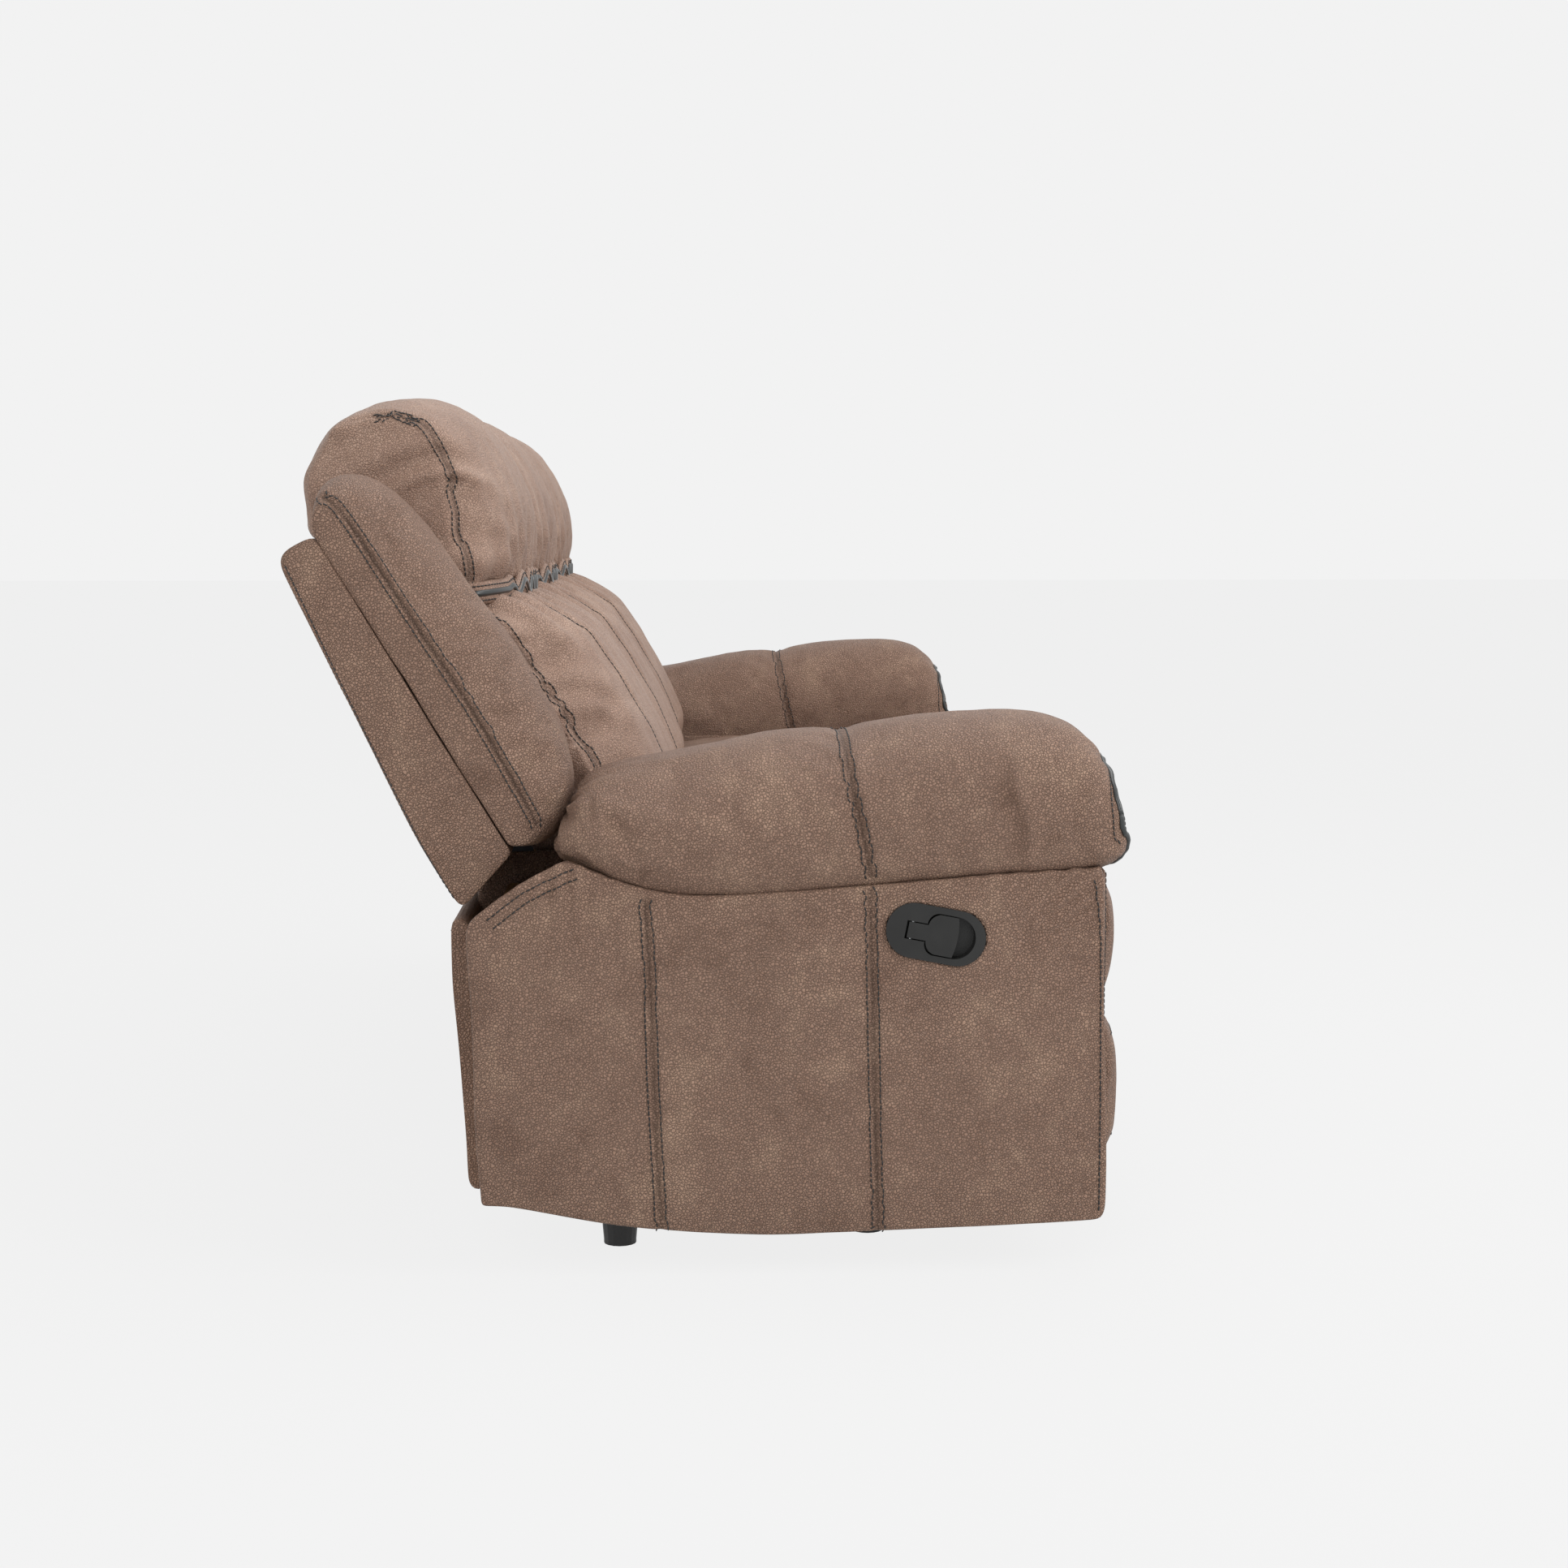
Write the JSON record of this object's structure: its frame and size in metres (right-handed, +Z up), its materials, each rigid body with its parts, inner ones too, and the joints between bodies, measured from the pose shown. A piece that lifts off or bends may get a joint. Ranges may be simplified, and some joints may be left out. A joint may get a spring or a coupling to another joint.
{
  "type": "reclining sofa",
  "caption": "Wide padded sofa with fold-out footrests and leaning backs at its end seats, a fixed middle seat, padded arms and finger levers.",
  "frame": {"origin": "middle of the width and the depth, on the floor", "axes": "+X along the width towards the sitter's left, -Y towards the front, +Z up"},
  "size_m": [2.2538, 1.0271, 1.0338],
  "materials": {
    "upholstery": "mottled suede-like leatherette, matt",
    "frame_wood": "sawn board",
    "mechanism_steel": "black coat",
    "bright_steel": "bare spring wire and pins",
    "lever_plastic": "fine grain, matt",
    "glide_plastic": "smooth"
  },
  "bodies": {
    "frame": {"arm_frames": "frame_wood", "base_rails": "mechanism_steel", "glide_feet": "glide_plastic", "lever_bezels": "lever_plastic", "lever_pins": "bright_steel", "middle_back_frame": "frame_wood", "middle_back_shell": "upholstery", "middle_head_cushion": "upholstery", "middle_lower_pad": "upholstery", "middle_lumbar_cushion": "upholstery", "middle_seat_cushion": "upholstery", "middle_seat_frame": "frame_wood", "stretchers": "frame_wood", "tailgate_panel": "upholstery", "right_side_panel": "upholstery", "right_arm_cover": "upholstery", "right_arm_roll": "upholstery", "left_side_panel": "upholstery", "left_arm_cover": "upholstery", "left_arm_roll": "upholstery"},
    "right_front_carrier": {"right_front_carriers": "mechanism_steel"},
    "right_rear_carrier": {"right_rear_carriers": "mechanism_steel"},
    "right_seat": {"right_seat_plates": "mechanism_steel", "right_seat_frame": "frame_wood", "right_seat_springs": "bright_steel", "right_seat_cushion": "upholstery"},
    "right_back": {"right_back_frame": "frame_wood", "right_back_hinges": "mechanism_steel", "right_back_shell": "upholstery", "right_lumbar_cushion": "upholstery", "right_head_cushion": "upholstery", "right_wing": "upholstery"},
    "right_drive": {"right_drive_links": "mechanism_steel"},
    "right_guide": {"right_guide_links": "mechanism_steel"},
    "right_carry": {"right_carry_links": "mechanism_steel"},
    "right_tilt": {"right_tilt_links": "mechanism_steel"},
    "right_footrest": {"right_footrest_brackets": "mechanism_steel", "right_footrest_board": "frame_wood", "right_footrest_pad": "upholstery"},
    "right_lever": {"right_lever_paddle": "lever_plastic"},
    "left_front_carrier": {"left_front_carriers": "mechanism_steel"},
    "left_rear_carrier": {"left_rear_carriers": "mechanism_steel"},
    "left_seat": {"left_seat_plates": "mechanism_steel", "left_seat_frame": "frame_wood", "left_seat_springs": "bright_steel", "left_seat_cushion": "upholstery"},
    "left_back": {"left_back_frame": "frame_wood", "left_back_hinges": "mechanism_steel", "left_back_shell": "upholstery", "left_lumbar_cushion": "upholstery", "left_head_cushion": "upholstery", "left_wing": "upholstery"},
    "left_drive": {"left_drive_links": "mechanism_steel"},
    "left_guide": {"left_guide_links": "mechanism_steel"},
    "left_carry": {"left_carry_links": "mechanism_steel"},
    "left_tilt": {"left_tilt_links": "mechanism_steel"},
    "left_footrest": {"left_footrest_brackets": "mechanism_steel", "left_footrest_board": "frame_wood", "left_footrest_pad": "upholstery"},
    "left_lever": {"left_lever_paddle": "lever_plastic"}
  },
  "joints": [
    {"name": "right_back_recline", "type": "hinge", "parent": "right_seat", "child": "right_back", "pos_m": [-0.585, 0.2628, 0.35], "axis": [-1, 0, 0], "range_deg": [0, 25]},
    {"name": "right_front_carrier_swing", "type": "hinge", "parent": "frame", "child": "right_front_carrier", "pos_m": [-0.585, -0.1872, 0.084], "axis": [1, 0, 0], "range_deg": [0, 22]},
    {"name": "right_rear_carrier_swing", "type": "hinge", "parent": "frame", "child": "right_rear_carrier", "pos_m": [-0.585, 0.1328, 0.084], "axis": [1, 0, 0], "range_deg": [0, 22]},
    {"name": "right_seat_shift", "type": "hinge", "parent": "right_front_carrier", "child": "right_seat", "pos_m": [-0.585, -0.1247, 0.19225], "axis": [1, 0, 0], "range_deg": [-22, 0]},
    {"name": "right_footrest_fold", "type": "hinge", "parent": "right_seat", "child": "right_drive", "pos_m": [-0.585, -0.2842, 0.272], "axis": [-1, 0, 0], "range_deg": [0, 88]},
    {"name": "right_guide_link_swing", "type": "hinge", "parent": "right_seat", "child": "right_guide", "pos_m": [-0.585, -0.3402, 0.3], "axis": [-1, 0, 0], "range_deg": [0, 88]},
    {"name": "right_carry_link_swing", "type": "hinge", "parent": "right_drive", "child": "right_carry", "pos_m": [-0.585, -0.21931, 0.07228], "axis": [-1, 0, 0], "range_deg": [-88, 0]},
    {"name": "right_tilt_link_swing", "type": "hinge", "parent": "right_guide", "child": "right_tilt", "pos_m": [-0.585, -0.25986, 0.05273], "axis": [-1, 0, 0], "range_deg": [-88, 0]},
    {"name": "right_footrest_tilt", "type": "hinge", "parent": "right_carry", "child": "right_footrest", "pos_m": [-0.585, -0.41519, 0.17022], "axis": [-1, 0, 0], "range_deg": [0, 88]},
    {"name": "right_lever_flip", "type": "hinge", "parent": "frame", "child": "right_lever", "pos_m": [-1.117, -0.22373, 0.41153], "axis": [0, 0.1908, -0.9816], "range_deg": [0, 35], "stiffness_Nm_per_rad": 0.4},
    {"name": "left_back_recline", "type": "hinge", "parent": "left_seat", "child": "left_back", "pos_m": [0.585, 0.2628, 0.35], "axis": [-1, 0, 0], "range_deg": [0, 25]},
    {"name": "left_front_carrier_swing", "type": "hinge", "parent": "frame", "child": "left_front_carrier", "pos_m": [0.585, -0.1872, 0.084], "axis": [1, 0, 0], "range_deg": [0, 22]},
    {"name": "left_rear_carrier_swing", "type": "hinge", "parent": "frame", "child": "left_rear_carrier", "pos_m": [0.585, 0.1328, 0.084], "axis": [1, 0, 0], "range_deg": [0, 22]},
    {"name": "left_seat_shift", "type": "hinge", "parent": "left_front_carrier", "child": "left_seat", "pos_m": [0.585, -0.1247, 0.19225], "axis": [1, 0, 0], "range_deg": [-22, 0]},
    {"name": "left_footrest_fold", "type": "hinge", "parent": "left_seat", "child": "left_drive", "pos_m": [0.585, -0.2842, 0.272], "axis": [-1, 0, 0], "range_deg": [0, 88]},
    {"name": "left_guide_link_swing", "type": "hinge", "parent": "left_seat", "child": "left_guide", "pos_m": [0.585, -0.3402, 0.3], "axis": [-1, 0, 0], "range_deg": [0, 88]},
    {"name": "left_carry_link_swing", "type": "hinge", "parent": "left_drive", "child": "left_carry", "pos_m": [0.585, -0.21931, 0.07228], "axis": [-1, 0, 0], "range_deg": [-88, 0]},
    {"name": "left_tilt_link_swing", "type": "hinge", "parent": "left_guide", "child": "left_tilt", "pos_m": [0.585, -0.25986, 0.05273], "axis": [-1, 0, 0], "range_deg": [-88, 0]},
    {"name": "left_footrest_tilt", "type": "hinge", "parent": "left_carry", "child": "left_footrest", "pos_m": [0.585, -0.41519, 0.17022], "axis": [-1, 0, 0], "range_deg": [0, 88]},
    {"name": "left_lever_flip", "type": "hinge", "parent": "frame", "child": "left_lever", "pos_m": [1.117, -0.22373, 0.41153], "axis": [0, -0.1908, 0.9816], "range_deg": [0, 35], "stiffness_Nm_per_rad": 0.4}
  ],
  "couplings": [
    {"joint": "right_front_carrier_swing", "follows": "right_back_recline", "ratio": 0.88},
    {"joint": "right_rear_carrier_swing", "follows": "right_back_recline", "ratio": 0.88},
    {"joint": "right_seat_shift", "follows": "right_back_recline", "ratio": -0.88},
    {"joint": "right_guide_link_swing", "follows": "right_footrest_fold", "ratio": 1},
    {"joint": "right_carry_link_swing", "follows": "right_footrest_fold", "ratio": -1},
    {"joint": "right_tilt_link_swing", "follows": "right_footrest_fold", "ratio": -1},
    {"joint": "right_footrest_tilt", "follows": "right_footrest_fold", "ratio": 1},
    {"joint": "left_front_carrier_swing", "follows": "left_back_recline", "ratio": 0.88},
    {"joint": "left_rear_carrier_swing", "follows": "left_back_recline", "ratio": 0.88},
    {"joint": "left_seat_shift", "follows": "left_back_recline", "ratio": -0.88},
    {"joint": "left_guide_link_swing", "follows": "left_footrest_fold", "ratio": 1},
    {"joint": "left_carry_link_swing", "follows": "left_footrest_fold", "ratio": -1},
    {"joint": "left_tilt_link_swing", "follows": "left_footrest_fold", "ratio": -1},
    {"joint": "left_footrest_tilt", "follows": "left_footrest_fold", "ratio": 1}
  ]
}
